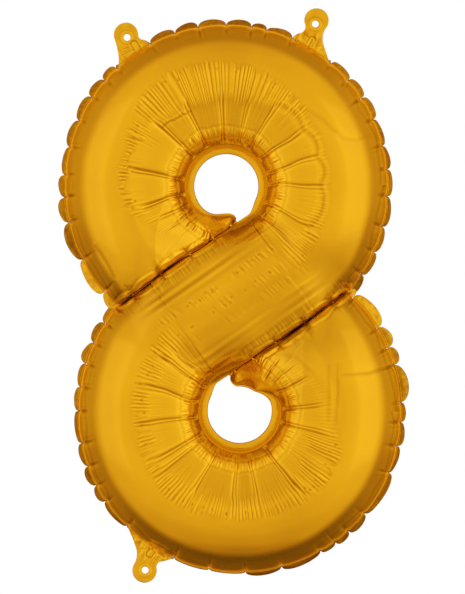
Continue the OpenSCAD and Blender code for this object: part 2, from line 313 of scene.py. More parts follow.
def loop_relief(p, r, creases, fringe, pinches, panels, local0, seed):
    """Height of the film's relief over the plain tube, round one eye."""
    def wave(x, k):
        return noise1(x, seed + k)

    d = np.zeros_like(r)
    rng = np.random.default_rng(seed)
    rad_mm = rad(1) * r
    alive = fade((p - 250) / 45)
    arcs = fade((p - 203) / 12)
    # between the gathers at the eye and the crest the film runs almost straight
    f = np.clip((r - 34) / 28, 0, 1)
    d -= 1.7 * 16 * (f * (1 - f)) ** 2 * (0.25 + 0.75 * alive)
    ft, f0, f1, fs = (np.array(c, float) for c in zip(*fringe))
    start, stop, strong = np.interp(p, ft, f0), np.interp(p, ft, f1), np.interp(p, ft, fs)
    turns = [c[0] for c in creases]
    for k, (a, b) in enumerate(zip(turns[:-1], turns[1:])):
        f = (p - a) / (b - a)
        inside = (f > 0) & (f < 1)
        g = np.sqrt(mound(f))
        mid = np.interp((a + b) / 2, ft, fs)
        # each panel is a shallow pillow
        d += np.where(inside, 0.5 * g * ease((r - SEAM_R) / 20) * fade((r - stop + 6) / 8), 0)
        # and where the fringe is faint it ends in one crisp arc
        if mid < 0.66:
            arc = 61.6 + 2.3 * g * g + 0.18 * wave(p / 2.3, 7)
            d += np.where(inside, -0.42 * bell(r - arc + 2.0, 2.0)
                          + 0.10 * bell(r - arc - 0.8, 1.1), 0) * arcs
        # where it is strong, one panel in four has a curly line at its start
        elif mid > 0.85:
            curly = k % 4 == 1
            arc = start - 0.6 + 0.7 * wave(p / 1.1, 8)
            step = ease((r - arc) / (1.0 if curly else 7.0)) * fade((r - arc - 4) / 8)
            d += np.where(inside, -0.34 * curly * bell(r - arc, 0.6) + 0.25 * step, 0) * arcs
    # the creases themselves, most of them a narrow pleat: a groove beside a ridge
    for k, (a, r0, r1, depth) in enumerate(creases):
        bend = 1.2 * wave(r / 17 + 31 * k, 3)
        s = (p - a) * rad_mm + bend
        env = ease((r - r0 + 2) / 4) * fade((r - r1 + 9) / 11)
        side = 1 if rng.uniform() > 0.5 else -1
        gap = 1.1 + 1.5 * ease((r - 34) / 30)
        d -= env * depth * 2.2 * ridge_line(s, 0.85)
        d -= env * depth * 1.3 * ridge_line(s - side * gap, 0.6)
        d += env * depth * 0.55 * bell(s - side * gap * 0.5, gap * 0.4)
    # fine folds that run up to the crest and stop in a fringe, with a pit at the end of some
    start = start + 3.5 * wave(p / 4.3, 11) * strong
    stop = stop + (2.4 * wave(p / 1.35, 12) + 1.6 * wave(p / 7, 13)) * (0.4 + 0.6 * strong)
    env = ease((r - start) / np.clip((stop - start) * 0.45, 1.5, 7)) * fade((r - stop + 1) / 3.2)
    wander = 0.12 * wave(r / 17, 15)
    fold = np.abs(np.sin(np.pi * (p / FOLD_TURN + wander + 0.9 * wave(p / 5, 16))))
    fold = fold * (0.68 + 0.62 * wave(p / FOLD_TURN, 19))
    thin = wave(p / 0.7 - wander, 17)
    d += strong * env * (0.75 * fold + 0.12 * thin - 0.3)
    longer = fade((r - start) / 4)
    d -= 0.14 * strong * longer * ease((r - start + 12) / 8) * np.clip(wave(p / 1.0, 18), 0, 1)
    pit_turns = rng.uniform(4, 250, 34)
    for a in pit_turns:
        if np.interp(a, ft, fs) < 0.6:
            continue
        ra = np.interp(a, ft, f1) - rng.uniform(1.5, 6)
        d -= 0.38 * spot((p - a) * rad(1) * ra, 0.6, r - ra, 0.8)
    # gathers in a ring just outside the eye's seam
    ring = bell(r - SEAM_R - 6.0 - 0.6 * wave(p / 7, 21), 3.3)
    d += 0.3 * ring * (0.3 + 0.7 * alive)
    ribs = bell(r - SEAM_R - 8.8, 2.3)
    d += (0.32 * wave(p / 1.9, 22) + 0.18 * wave(p / 1.0, 23)) * ribs
    lip = SEAM_R + 12.0 + 0.5 * wave(p / 1.7, 24) + 0.8 * wave(p / 9, 25)
    d -= 0.17 * bell(r - lip, 0.8)
    inner = SEAM_R + 5.6 + 0.4 * wave(p / 2.1, 26)
    d -= 0.18 * bell(r - inner, 0.7)
    tuck = bell(r - SEAM_R - 3, 2.2)
    d += 0.06 * tuck * wave(p / 2.6, 27)
    # soft broad waves in the smooth outer part
    outer = ease((r - CREST - 2) / 20)
    d += outer * (0.30 * noise2(p / 23, r / 40, seed + 31) + 0.08 * noise2(p / 9, r / 25, seed + 32))
    # the outer seam: pinches with a short crease each, and a narrow panel between two
    ang = (p + local0) % 360
    pins = sorted(x % 360 for x in pinches)
    frac = np.zeros_like(r)
    for a, b in zip(pins, pins[1:] + [pins[0] + 360]):
        f = ((ang - a) % 360) / (b - a)
        frac = np.where(f <= 1, f, frac)
    edge_d = LOOP_R - r
    for k, a in enumerate(pins):
        s = ((ang - a + 180) % 360 - 180) * rad_mm
        length = rng.uniform(3.5, 9)
        env = ease((r - LOOP_R + length + 3) / length)
        d -= env * rng.uniform(0.4, 0.8) * ridge_line(s + 0.06 * edge_d, 0.8)
        if rng.uniform() > 0.5:
            d -= env * 0.25 * ridge_line(s + 2.2 + 0.15 * edge_d, 0.6)
    at, how = (np.array(c, float) for c in zip(*panels))
    if at[0] < 0:
        ang_there = np.where(ang > 300, ang - 360, ang)
    else:
        ang_there = np.where(ang < at[0] - 1, ang + 360, ang)
    much = np.interp(ang_there, at, how)
    facet = (4.6 + 1.6 * wave(ang / 6, 41)) * mound(frac) ** 0.10
    d += much * (0.16 * np.clip(facet - edge_d, 0, None) * ease(edge_d / 1.5)
                 - 0.18 * bell(edge_d - facet, 0.8))
    return d, frac


def slit_relief(x, z, lobe_side):
    """Puckers and small pillows along the slit, on the lobe's side or the band's."""
    t, off = along_slit(x, z)
    u = -off if lobe_side else off
    d = np.zeros_like(x)
    active = (u > -3) & (u < 30) & (t > 1) & (t < 106)
    for k, tk in enumerate(TIES):
        lean = t - tk + 0.10 * u * (1 if k % 2 else -1)
        d -= (0.95 if tk > 20 else 0.3) * ridge_line(lean, 1.2) * np.exp(-np.clip(u - 1, 0, None) / 3.6)
        d -= 0.3 * ridge_line(lean + 2.3, 0.6) * np.exp(-np.clip(u - 2, 0, None) / 3.0)
        d -= 0.22 * ridge_line(lean - 2.0, 0.5) * np.exp(-np.clip(u - 2, 0, None) / 2.5)
    bounds = np.concatenate([[0], TIES, [103]])
    wide = (2.0, 2.4, 3.6, 4.8, 4.4, 3.4) if lobe_side else (2.0, 2.6, 3.4, 4.2, 4.8, 3.4)
    for k in range(len(bounds) - 1):
        f = (t - bounds[k]) / (bounds[k + 1] - bounds[k])
        g = np.sqrt(mound(f))
        lens = 1.2 + wide[k] * g ** 0.6 * (0.95 + 0.14 * noise1(t / 5, 211 + k))
        body = 0.65 * g * bell(u - 0.62 * lens, 0.30 * lens)
        rim = -0.16 * bell(u - lens, 0.9)
        ribs = 0.3 * noise1(u / 0.8 + 0.5 * f, 171 + k) * bell(u - 0.6 * lens, 0.3 * lens)
        pillow = body + rim * np.minimum(1, 0.4 + g) + ribs * g
        d += np.where((f > 0) & (f <= 1), pillow, 0) * (1.0 if k >= 2 else 0.25)
    flutes = noise1(t / 0.9, 71 + int(lobe_side)) * np.clip(noise1(t / 9, 75 + int(lobe_side)) + 0.3, 0, 1)
    d += 0.2 * flutes * bell(u - 6.4, 3.0)
    calm = 0.2 + 0.8 * ease((t - 18) / 22) if lobe_side else 0.5 + 0.5 * ease((t - 8) / 20)
    return np.where(active, d, 0) * calm * ease((t - 1) / 6) * fade((t - 97) / 8)


def slit_wander(t):
    """How far the crevice strays from a straight line."""
    return ((0.55 * noise1(t / 17, 401) + 0.25 * noise1(t / 6, 402))
            * ease(t / 10) * fade((t - 88) / 12))


def band_relief(s, v, seed):
    """Two dotted lines of cross ripples along the crest of the diagonal band, and long soft folds."""
    def rippled(v0, w, amp, step, k):
        mod = np.clip(noise1(s / 9, seed + k) + 0.45, 0, 1)
        line = v0 + 1.6 * noise1(s / 21, seed + k + 1)
        return amp * mod * noise1((s + 0.15 * v) / step, seed + k + 2) * bell(v - line, w)

    d = rippled(0, 2.8, 0.32, 1.0, 0) + rippled(12, 2.4, 0.28, 1.0, 5) + rippled(-9, 3, 0.2, 1.2, 9)
    for k in range(26):
        rng = np.random.default_rng(seed + 40 + k)
        s0, v0 = rng.uniform(-52, 52), rng.choice([0, 12]) + rng.uniform(-1.4, 1.4)
        d -= 0.34 * spot(s - s0, 0.7, v - v0, 0.6)
    d += 0.55 * noise2(s / 40, v / 2.8, seed + 20) * bell(abs(v) - 25, 8)
    d += 0.30 * noise2(s / 45, v / 22, seed + 4) + 0.10 * noise2(s / 60, v / 7, seed + 14)
    return d


def groove_along(x, z, pts, depth, w):
    """A soft fold along a line of points in the plan, fading out at both ends."""
    best, at = np.full_like(x, 1e9), np.zeros_like(x)
    pts = np.array(pts, float)
    lengths = np.linalg.norm(np.diff(pts, axis=0), axis=1)
    total, done = lengths.sum(), 0.0
    for a, b, length in zip(pts[:-1], pts[1:], lengths):
        f = np.clip(((x - a[0]) * (b[0] - a[0]) + (z - a[1]) * (b[1] - a[1])) / length ** 2, 0, 1)
        away = np.hypot(x - a[0] - f * (b[0] - a[0]), z - a[1] - f * (b[1] - a[1]))
        at = np.where(away < best, (done + f * length) / total, at)
        best = np.minimum(best, away)
        done += length
    return -depth * ridge_line(best, w) * np.sqrt(mound(at))


# Soft folds of their own in the smooth film: points in the plan, depth and width in mm
FRONT_FOLDS = [([(40, 120), (48, 118), (56, 113), (63, 106), (70, 101), (78, 100), (88, 104)], .55, 2.8),
               ([(65.6, -40), (66, -58), (65, -80)], .48, 1.8),
               ([(60, -41), (60.6, -58), (60, -78)], .34, 1.6),
               ([(67, -48), (86, -47), (104, -42)], .9, 2.2), ([(20, -34), (38, -36), (52, -48)], .3, 2.2),
               ([(-88, 34), (-80, 22), (-75, 12)], .5, 2.0), ([(-70, 8), (-62, 6), (-52, 11)], .3, 1.8)]
BACK_FOLDS = [([(-50, 122), (-64, 112), (-80, 112)], .35, 2.5),
              ([(-70, -38), (-68, -60), (-70, -84)], .45, 2.2),
              ([(60, 40), (72, 52), (90, 50)], .45, 2.4), ([(-20, -120), (0, -128), (24, -122)], .35, 2.6)]
# Places on the front with a painted darker reflection in the film's colour: centre in the plan, reach in mm,
# how much
PAINTED_DARK_REFLECTIONS = [(65, 24, 15, .15), (43, -25, 13, .15), (36, -135, 20, .08), (43, -65, 11, .10),
               (-46, -7, 13, .08), (63, -50, 6, .05), (63, -62, 6, .05), (62, -74, 6, .04),
               (40, -30, 12, .07), (66, -22, 14, .09), (-26, -80, 9, .05)]


# ---- the chamber's two films
COLS = 106
ROW_TURN = 0.4
STRAIGHT_STEP = 0.6


def film_grid(front, seed):
    """Rows of points right along the S, from one lobe's tip to the other's."""
    q = (1 - np.cos(np.pi * np.linspace(0, 1, COLS))) / 2
    q = 0.5 * q + 0.5 * np.linspace(0, 1, COLS)
    turns = np.linspace(0, TONGUE_END, int(TONGUE_END / ROW_TURN) + 1)
    halves = []
    for loop in (1, -1):
        p = np.repeat(turns[:, None], COLS, 1)
        a, b = film_edges(p, loop)
        r = a + (b - a) * q[None, :]
        y = loop_depth(p, r, loop)
        relief, frac = loop_relief(p, r, *LOOPS[loop], seed + (0 if loop == 1 else 500))
        # the relief dies out at the seams and towards the tip of the lobe
        keep = ease((r - a) / 1.6) * ease((b - r) / 0.9) * (1 - 0.8 * ease((p - 300) / 25))
        swell, pinch = scallop(frac)
        pull = (swell - pinch) * ease((r - LOOP_R + 9) / 9) * (b >= LOOP_R - 0.01)
        x, z = round_eye(p, r + pull)
        s = loop * (half_straight + rad(p) * r)
        v = BAND_HALF - 2 * BAND_HALF * (r - a) / np.maximum(b - a, 1e-6)
        band = band_relief(s, loop * v, seed + 900)
        still = fade(p / 14)
        relief = relief * keep * (1 - still) + band * still * ease((BAND_HALF - abs(v)) / 12)
        relief += slit_relief(x, z, True) * (p > 250) * ease((b - r) / 0.8)
        relief += slit_relief(x, z, False) * (p < 60) * ease((r - a) / 0.8)
        relief += slit_relief(-x, -z, False) * (p < 60) * ease((b - r) / 0.8)
        # painted light and shade in the film's colour: a darker zone round the top of each loop and a darker
        # band in soft streaks (painted darker reflections), a lighter ring near the eye and a lighter lobe
        # towards its tip (painted highlights)
        top = bell(p - 140, 42) if loop == 1 else bell(p - 147, 45)
        painted_shading = 1 - 0.09 * top * ease((r - 36) / 5) * fade((r - 56) / 14)
        painted_shading += 0.09 * bell(r - 35.2, 2.8) * fade((p - 250) / 30)
        painted_shading += 0.10 * ease((p - 275) / 30)
        band_painted_shading = 0.91 + 0.09 * noise2(s / 55, loop * v / 8, seed + 930)
        painted_shading += (band_painted_shading - painted_shading) * fade(p / 30)
        halves.append((x, y, z, relief, painted_shading))
    s = np.linspace(-half_straight, half_straight, int(2 * half_straight / STRAIGHT_STEP) + 1)
    s, v = np.meshgrid(s[1:-1], BAND_HALF - 2 * BAND_HALF * q, indexing="ij")
    bx, bz = s * ALONG[0] + v * ACROSS[0], s * ALONG[1] + v * ACROSS[1]
    up, low = touch(half_straight - s), touch(half_straight + s)
    by = np.sqrt(np.maximum((BAND_HALF - v + up) * (BAND_HALF + v + low), 0))
    by = by * 2 * BAND_HALF / (2 * BAND_HALF + up + low)
    by = by * crevice(along_slit(bx, bz), v > 0) * crevice(along_slit(-bx, -bz), v < 0)
    by[:, 0] = by[:, -1] = 0
    brelief = band_relief(s, v, seed + 900) * ease((BAND_HALF - abs(v)) / 12)
    edge = ease((BAND_HALF - abs(v)) / 0.8)
    brelief += (slit_relief(bx, bz, False) * (v > 0) + slit_relief(-bx, -bz, False) * (v < 0)) * edge
    # painted shade: the straight part of the band comes out darker, in soft streaks, as a painted darker
    # reflection
    straight_band_painted_shading = 0.91 + 0.09 * noise2(s / 55, v / 8, seed + 930)
    (ux, uy, uz, ur, ut), (lx, ly, lz, lr, lt) = halves
    # the lower loop is the upper one after half a turn, so its rows run the other way across
    x = np.concatenate([-lx[::-1, ::-1], bx, ux])
    z = np.concatenate([-lz[::-1, ::-1], bz, uz])
    y = np.concatenate([ly[::-1, ::-1], by, uy])
    d = np.concatenate([lr[::-1, ::-1], brelief, ur])
    painted_shading = np.concatenate([lt[::-1, ::-1], straight_band_painted_shading, ut])
    for pts, depth, w in FRONT_FOLDS if front else BACK_FOLDS:
        d += groove_along(x, z, pts, depth, w)
    # the crevices wander a little, both sides together
    for sgn in (1, -1):
        t, off = along_slit(sgn * x, sgn * z)
        shift = sgn * slit_wander(t) * bell(off, 7)
        x, z = x + shift * ACROSS[0], z + shift * ACROSS[1]
    # painted light and shade: the hollows between fine folds come out a little darker (painted shade), their
    # ridges a little lighter (painted highlight), and the listed patches on the front a little darker
    # (painted darker reflection)
    soft = blurred(blurred(d, 0, 3), 1, 2)
    for px, pz, wide, deep in PAINTED_DARK_REFLECTIONS if front else ():
        painted_shading -= deep * spot(x - px, wide, z - pz, wide)
    painted_shading = painted_shading * np.clip(1 + 1.15 * (d - soft), 0.62, 1.13)
    return x, y, z, d, painted_shading


def blurred(a, axis, n):
    """Running mean over n points either side."""
    pad = [(n + 1, n) if k == axis else (0, 0) for k in (0, 1)]
    c, span = np.cumsum(np.pad(a, pad, mode="edge"), axis=axis), 2 * n + 1
    last = c.shape[axis]
    return (np.take(c, range(span, last), axis) - np.take(c, range(last - span), axis)) / span


def grid_normals(P):
    n = np.cross(np.gradient(P, axis=0), np.gradient(P, axis=1))
    return n / np.maximum(np.linalg.norm(n, axis=-1, keepdims=True), 1e-12)


def grid_mesh(name, P):
    rows, cols = P.shape[:2]
    idx = np.arange(rows * cols).reshape(rows, cols)
    quads = np.stack([idx[:-1, :-1], idx[1:, :-1], idx[1:, 1:], idx[:-1, 1:]], -1).reshape(-1, 4)
    return make_mesh(name, P.reshape(-1, 3), quads)


def make_mesh(name, verts, faces):
    me = bpy.data.meshes.new(name)
    verts, faces = np.asarray(verts, float), np.asarray(faces, np.int32)
    me.vertices.add(len(verts))
    me.vertices.foreach_set("co", verts.ravel())
    me.loops.add(faces.size)
    me.loops.foreach_set("vertex_index", faces.ravel())
    me.polygons.add(len(faces))
    me.polygons.foreach_set("loop_start", np.arange(0, faces.size, faces.shape[1], dtype=np.int32))
    me.update(calc_edges=True)
    me.validate()
    me.polygons.foreach_set("use_smooth", np.ones(len(me.polygons), bool))
    ob = bpy.data.objects.new(name, me)
    bpy.context.scene.collection.objects.link(ob)
    return ob


def film(name, front, seed):
    """One wall of the chamber, with its relief standing out along its own normals."""
    x, y, z, d, painted_shading = film_grid(front, seed)
    P = np.stack([x, -y, z], -1)
    n = grid_normals(P)
    n = np.where(n[..., 1:2] > 0, -n, n)
    P += n * d[..., None]
    P[..., 1] = np.minimum(P[..., 1], 0)
    if not front:
        P[..., 1] *= -1
    ob = grid_mesh(name, world(P[..., 0], P[..., 1], P[..., 2]))
    me = ob.data
    # the film's painted light and shade go on as its shade attribute
    set_shade(me, painted_shading)
    centre = me.polygons[len(me.polygons) // 2 + COLS // 2].normal[1]
    if (centre > 0) == front:
        me.flip_normals()
    return ob


def set_shade(me, painted_shading):
    """Stores painted light and shade at each point of a mesh as its 'shade' colour attribute; the painted
    shade in the hollows shifts towards brown.
    """
    shade = me.color_attributes.new("shade", "FLOAT_COLOR", "POINT")
    rgba = np.stack([painted_shading, painted_shading ** 1.35, painted_shading ** 1.8, np.ones_like(painted_shading)], -1)
    shade.data.foreach_set("color", rgba.astype(np.float32).ravel())


def two_plies(ob, mm):
    """Thickens a sheet to two films sealed together. Applied, so that it moves with the mesh."""
    m = ob.modifiers.new("two_plies", "SOLIDIFY")
    m.thickness, m.offset = mm * MM, 0
    dg = bpy.context.evaluated_depsgraph_get()
    me = bpy.data.meshes.new_from_object(ob.evaluated_get(dg))
    ob.modifiers.clear()
    ob.data = me


def joined(obs, name):
    """One mesh of several."""
    with bpy.context.temp_override(active_object=obs[0], object=obs[0], selected_objects=obs,
                                   selected_editable_objects=obs):
        bpy.ops.object.join()
    obs[0].name = name
    return obs[0]


# Thickness of the welded seal, a tab, one ply of the neck and one film of the valve, in mm
SEAL_PLIES, TAB_PLIES, NECK_PLY, VALVE_PLY = 0.12, 0.14, 0.05, 0.03


# ---- materials
def put(node, values):
    """Sets a node's inputs by name."""
    for name, value in values.items():
        node.inputs[name].default_value = value


def gold_material(name, rough, tint, bump_mm, grain_mm, shaded=False):
    m = bpy.data.materials.new(name)
    m.use_nodes = True
    nodes, links = m.node_tree.nodes, m.node_tree.links
    nodes.clear()
    shader = nodes.new("ShaderNodeBsdfPrincipled")
    links.new(shader.outputs[0], nodes.new("ShaderNodeOutputMaterial").inputs[0])
    put(shader, {"Metallic": 0.97, "Specular Tint": (1.0, 0.72, 0.3, 1)})
    place = nodes.new("ShaderNodeTexCoord").outputs["Object"]

    def noise(scale, detail):
        texture = nodes.new("ShaderNodeTexNoise")
        put(texture, {"Scale": scale, "Detail": detail})
        links.new(place, texture.inputs["Vector"])
        return texture.outputs["Fac"]

    ramp = nodes.new("ShaderNodeValToRGB")
    ends = ramp.color_ramp.elements
    ends[0].position, ends[1].position = 0.3, 0.72
    ends[0].color, ends[1].color = (*[c * 0.95 for c in tint], 1), (*tint, 1)
    links.new(noise(18, 3), ramp.inputs[0])
    colour = ramp.outputs[0]
    if shaded:
        # the mesh's own shade attribute multiplies painted shade and painted highlights into the colour:
        # darker hollows between the fine folds, lighter ridges
        product = nodes.new("ShaderNodeMix")
        product.data_type, product.blend_type = "RGBA", "MULTIPLY"
        put(product, {"Factor": 1.0})
        shade = nodes.new("ShaderNodeVertexColor")
        shade.layer_name = "shade"
        links.new(colour, product.inputs["A"])
        links.new(shade.outputs["Color"], product.inputs["B"])
        colour = product.outputs["Result"]
    links.new(colour, shader.inputs["Base Color"])
    patchy = nodes.new("ShaderNodeMapRange")
    put(patchy, {"To Min": rough * 0.85, "To Max": rough * 1.2})
    links.new(noise(55, 4), patchy.inputs["Value"])
    links.new(patchy.outputs[0], shader.inputs["Roughness"])
    bump = nodes.new("ShaderNodeBump")
    put(bump, {"Strength": 0.35, "Distance": bump_mm * MM})
    links.new(noise(1000 / grain_mm, 2), bump.inputs["Height"])
    links.new(bump.outputs[0], shader.inputs["Normal"])
    return m


def plain_material(name, **values):
    m = bpy.data.materials.new(name)
    m.use_nodes = True
    put(m.node_tree.nodes["Principled BSDF"], {key.replace("_", " "): value for key, value in values.items()})
    return m


# The surroundings are warm, so the film's own colour is a shade less saturated than it looks.
WARM = (1.0, 0.68, 0.12)
GOLD, SEAL = (0.85, 0.62, 0.06), (0.84, 0.605, 0.06)
film_gold = gold_material("satin_gold_film", 0.155, GOLD, 0.03, 3.0, shaded=True)
seal_gold = gold_material("sealed_gold_film", 0.22, SEAL, 0.06, 1.2)
skirt_gold = gold_material("skirt_gold_film", 0.22, SEAL, 0.06, 1.2, shaded=True)
tab_gold = gold_material("tab_gold_film", 0.22, GOLD, 0.06, 2.0, shaded=True)


def dress(ob, mat, body, slot, *nodes):
    ob.data.materials.clear()
    ob.data.materials.append(mat)
    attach(ob, body)
    if nodes:
        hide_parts(*nodes)


front = film("front_film_skin", True, 11)
dress(front, film_gold, "envelope", "gold_film", "front_film")
back = film("back_film_skin", False, 47)
dress(back, film_gold, "envelope", "gold_film", "back_film")

# ---- the scalloped outer seal
def tab_mask(loop, ang):
    """1 where a tab's own film runs down to the seam."""
    mask = np.zeros_like(ang)
    for tab_loop, at, *_, seam_feet in TABS.values():
        if tab_loop == loop:
            a, b = (math.degrees(math.asin(-foot / LOOP_R)) for foot in seam_feet[::-1])
            off = (ang - at + 180) % 360 - 180
            mask = np.maximum(mask, ease((off - a) / 0.8) * fade((off - b + 0.8) / 0.8))
    return mask


# Beside the bottom tab the film bulges over its own seal between these places
HIDDEN_FROM, HIDDEN_TO = 246, 267


def outer_seal(loop, pinches, seed):
    rng = np.random.default_rng(seed)
    a0, a1 = (WAIST_FROM, WAIST_TO) if loop == 1 else (WAIST_FROM + 180, WAIST_TO + 180)
    ang = np.arange(a0, a1 + 0.1, 0.2)
    pins = sorted((x - a0) % 360 + a0 for x in pinches)
    pins = [a0] + [x for x in pins if a0 + 2 < x < a1 - 2] + [a1]
    frac, proud, lean, painted_shading = (np.zeros_like(ang) for _ in range(4))
    for a, b in zip(pins[:-1], pins[1:]):
        here = (ang >= a) & (ang <= b)
        f = (ang - a) / (b - a)
        f = f + 0.16 * rng.uniform(-1, 1) * np.sin(np.pi * f)
        g = mound(f)
        mid = (a + b) / 2 - (0 if loop == 1 else 180)
        near_waist, at_waist = mid > WAIST_TO - 42, mid > WAIST_TO - 15
        full = (2.3 + 1.7 * rng.uniform()) * (0.55 + 0.45 * min(1.0, (b - a) / 8)) + 1.8 * near_waist
        tilt = rng.uniform(*((20, 34) if at_waist else (50, 62) if near_waist else (60, 71)))
        if loop == -1 and HIDDEN_FROM <= (a + b) / 2 <= HIDDEN_TO:
            full = 0.5
        blunt = rng.uniform(0.32, 0.6)
        frac = np.where(here, f, frac)
        proud = np.where(here, 0.35 + (full - 0.35) * g ** blunt, proud)
        lean = np.where(here, tilt * (0.7 + 0.3 * np.sqrt(g)), lean)
        # painted shade: a scallop that leans far back comes out darker, by a random amount, and darker still
        # into its pinches
        painted_shading = np.where(here, (0.95 if tilt < 40 else rng.uniform(0.66, 0.88)) - 0.15 * (1 - g) ** 4, painted_shading)
    mask = tab_mask(loop, ang)
    proud = proud * (1 - mask) + 0.1 * mask
    lean = lean * (1 - mask)
    swell, pinch = scallop(frac)
    seam = LOOP_R + swell - pinch * (1 - mask) - 0.1
    rows = np.linspace(0, 1, 14)[None, :]
    out = rows * (proud[:, None] + 0.6)
    out = np.minimum(out, 0.6) * 0.8 + np.clip(out - 0.6, 0, None)
    # flat for the width of the seam itself, then leaning back
    back = np.tan(rad(lean))[:, None] * np.maximum(out - 0.4, 0)
    back = back * (1 - 0.22 * (out / 5.0))
    turn = rad(ang)[:, None]
    ruffle = (0.22 * noise2(ang[:, None] / 1.4, rows * 3, seed)
              + 0.10 * noise1(ang / 0.5, seed + 1)[:, None])
    yy = (back + ruffle * rows ** 1.5) * (1 - mask[:, None])
    rr = seam[:, None] + out
    x, z = loop * EYE[0] + rr * np.cos(turn), loop * EYE[1] + rr * np.sin(turn)
    # painted shade in soft streaks across the skirt, like the dark lines between its crumples
    painted_streaks = (noise2(ang[:, None] / 0.9, rows * 2, seed + 2)
               + 0.7 * noise2(ang[:, None] / 3, rows * 5, seed + 3))
    return world(x, yy, z), np.clip(painted_shading[:, None] + 0.13 * painted_streaks, 0.5, 1.05)


parts = []
for loop, pinches, seed in ((1, UPPER_PINCHES, 5), (-1, LOWER_PINCHES, 6)):
    P, painted_shading = outer_seal(loop, pinches, seed)
    ob = grid_mesh("outer_seal_part", P)
    set_shade(ob.data, painted_shading)
    parts.append(ob)
seal = joined(parts, "outer_seal_skirt")
two_plies(seal, SEAL_PLIES)
dress(seal, skirt_gold, "envelope", "gold_seal", "outer_seal")

# ---- tabs
def tab_outline(feet, head, seam_feet, straight_left):
    """The tab's edge, from its right foot over the head to the left foot and back along the seam."""
    head = np.array(head, float)

    def flare(foot):
        dx, dy = foot - head[0], head[1] - HINGE_GAP
        r = (dx * dx + dy * dy - HEAD_R ** 2) / (2 * (dy + HEAD_R))
        return np.array([foot, HINGE_GAP + r]), r

    def toward(a, b):
        return math.degrees(math.atan2(b[1] - a[1], b[0] - a[0]))

    def arc(c, r, a, b, skip):
        k = max(2, int(abs(b - a) * rad(1) * r / 0.5))
        return [c + r * polar(a + (b - a) * i / k) for i in range(skip, k + 1 - skip)]

    def seam(u):
        return math.sqrt(LOOP_R ** 2 - u * u) - EDGE_R + 0.35

    (lc, lr), (rc, rr) = flare(feet[0]), flare(feet[1])
    left, right = seam_feet

    def sweep(a, b, c, n):
        """From a to c in one curve, drawn towards b on the way."""
        f = np.linspace(0, 1, n)[:, None]
        return list(((1 - f) ** 2 * a + 2 * f * (1 - f) * b + f ** 2 * c)[1:])

    def side(c0, r0, a0, way, end):
        """From the flare to the seam's pinch beside the tab."""
        a, c = c0 + r0 * polar(a0), np.array([end, seam(end)])
        return sweep(a, a + 0.45 * np.linalg.norm(c - a) * np.array([way * 0.766, -0.643]), c, 14)

    if straight_left:
        # this one runs down from the head in one nearly straight sweep
        down = sweep(head + HEAD_R * np.array([-0.97, 0.24]), np.array([-10.2, -0.6]),
                     np.array([left, seam(left)]), 30)
        round_head = arc(head, HEAD_R, toward(head, rc), 166 if toward(head, rc) < 166 else 526, 1)
    else:
        down = arc(lc, lr, toward(lc, head), -50, 0) + side(lc, lr, -50, -1, left)
        round_head = arc(head, HEAD_R, toward(head, rc), toward(head, lc) + 360, 1)
    return (arc(rc, rr, 230, toward(rc, head) % 360, 0) + round_head + down
            + [np.array([u, seam(u)]) for u in np.linspace(left, right, 60)[1:-1]]
            + side(rc, rr, 230, 1, right)[::-1])


def at_tab(body, u, w, y):
    """Points u along the margin's edge at a tab, w out from it and y out of the plane, in m."""
    base, along, out = edge_frame(*TABS[body][:2])
    pos = base + u[..., None] * along + w[..., None] * out
    return world(pos[..., 0], y, pos[..., 1])


def tab_relief(body, seed, u, w):
    """Height of a tab's creases: u along the seam, w out from the margin's edge."""
    loop, _, feet, head, hole, seam_feet = TABS[body]
    hd = np.hypot(u - hole[0], w - hole[1])
    low = w - (np.sqrt(LOOP_R ** 2 - u * u) - EDGE_R)      # distance out from the seam
    root = ease(low / 4.5)
    h = 1.2 * noise2(u / 9 + 3.1 * seed, w / 8, seed) * root
    gathers = noise2((u - 0.12 * u * w / 8) / 2.0, w / 9, seed + 1)
    h += 0.75 * gathers * ease(low / 2) * fade((w - 4) / 6)
    h += 0.4 * bell(hd - HOLE_R - 1.2, 0.9) * root
    # a small embossed loop and a few fold marks at the root
    cx, cy = (head[0] + (feet[0] + feet[1]) / 2) / 2 + (1.2 if loop == 1 else 0), 1.6
    from_mark = np.where(w > cy, np.hypot(u - cx, w - cy), abs(u - cx))
    h -= 0.6 * bell(from_mark - 2.1, 0.5) * ease(low - 1) * fade((w - cy - 2.2) / 1.5)
    for du, dw, tilt, length in ((5.0, 0.5, 0.6, 3.0), (-5.5, -0.3, -0.12, 3.6),
                                 (-5.5, 0.9, -0.16, 3.2), (-5.0, 2.1, -0.2, 2.6)):
        across = (w - dw) - tilt * (u - cx - du)
        h -= 0.5 * ridge_line(across, 0.55) * bell(u - cx - du, length) * ease(low / 1.5)
    # the feet gather towards the seam's pinches
    for foot in seam_feet:
        h -= 0.5 * bell(u - foot, 1.6) * fade((low - 2.5) / 4) * ease(low / 1.0)
    if body == "bottom_tab":
        for du in (-11.5, -7.5, 4.5, 9.5):
            h += 0.8 * spot(u - du, 1.6, low - 3.2, 2.2)
    return h


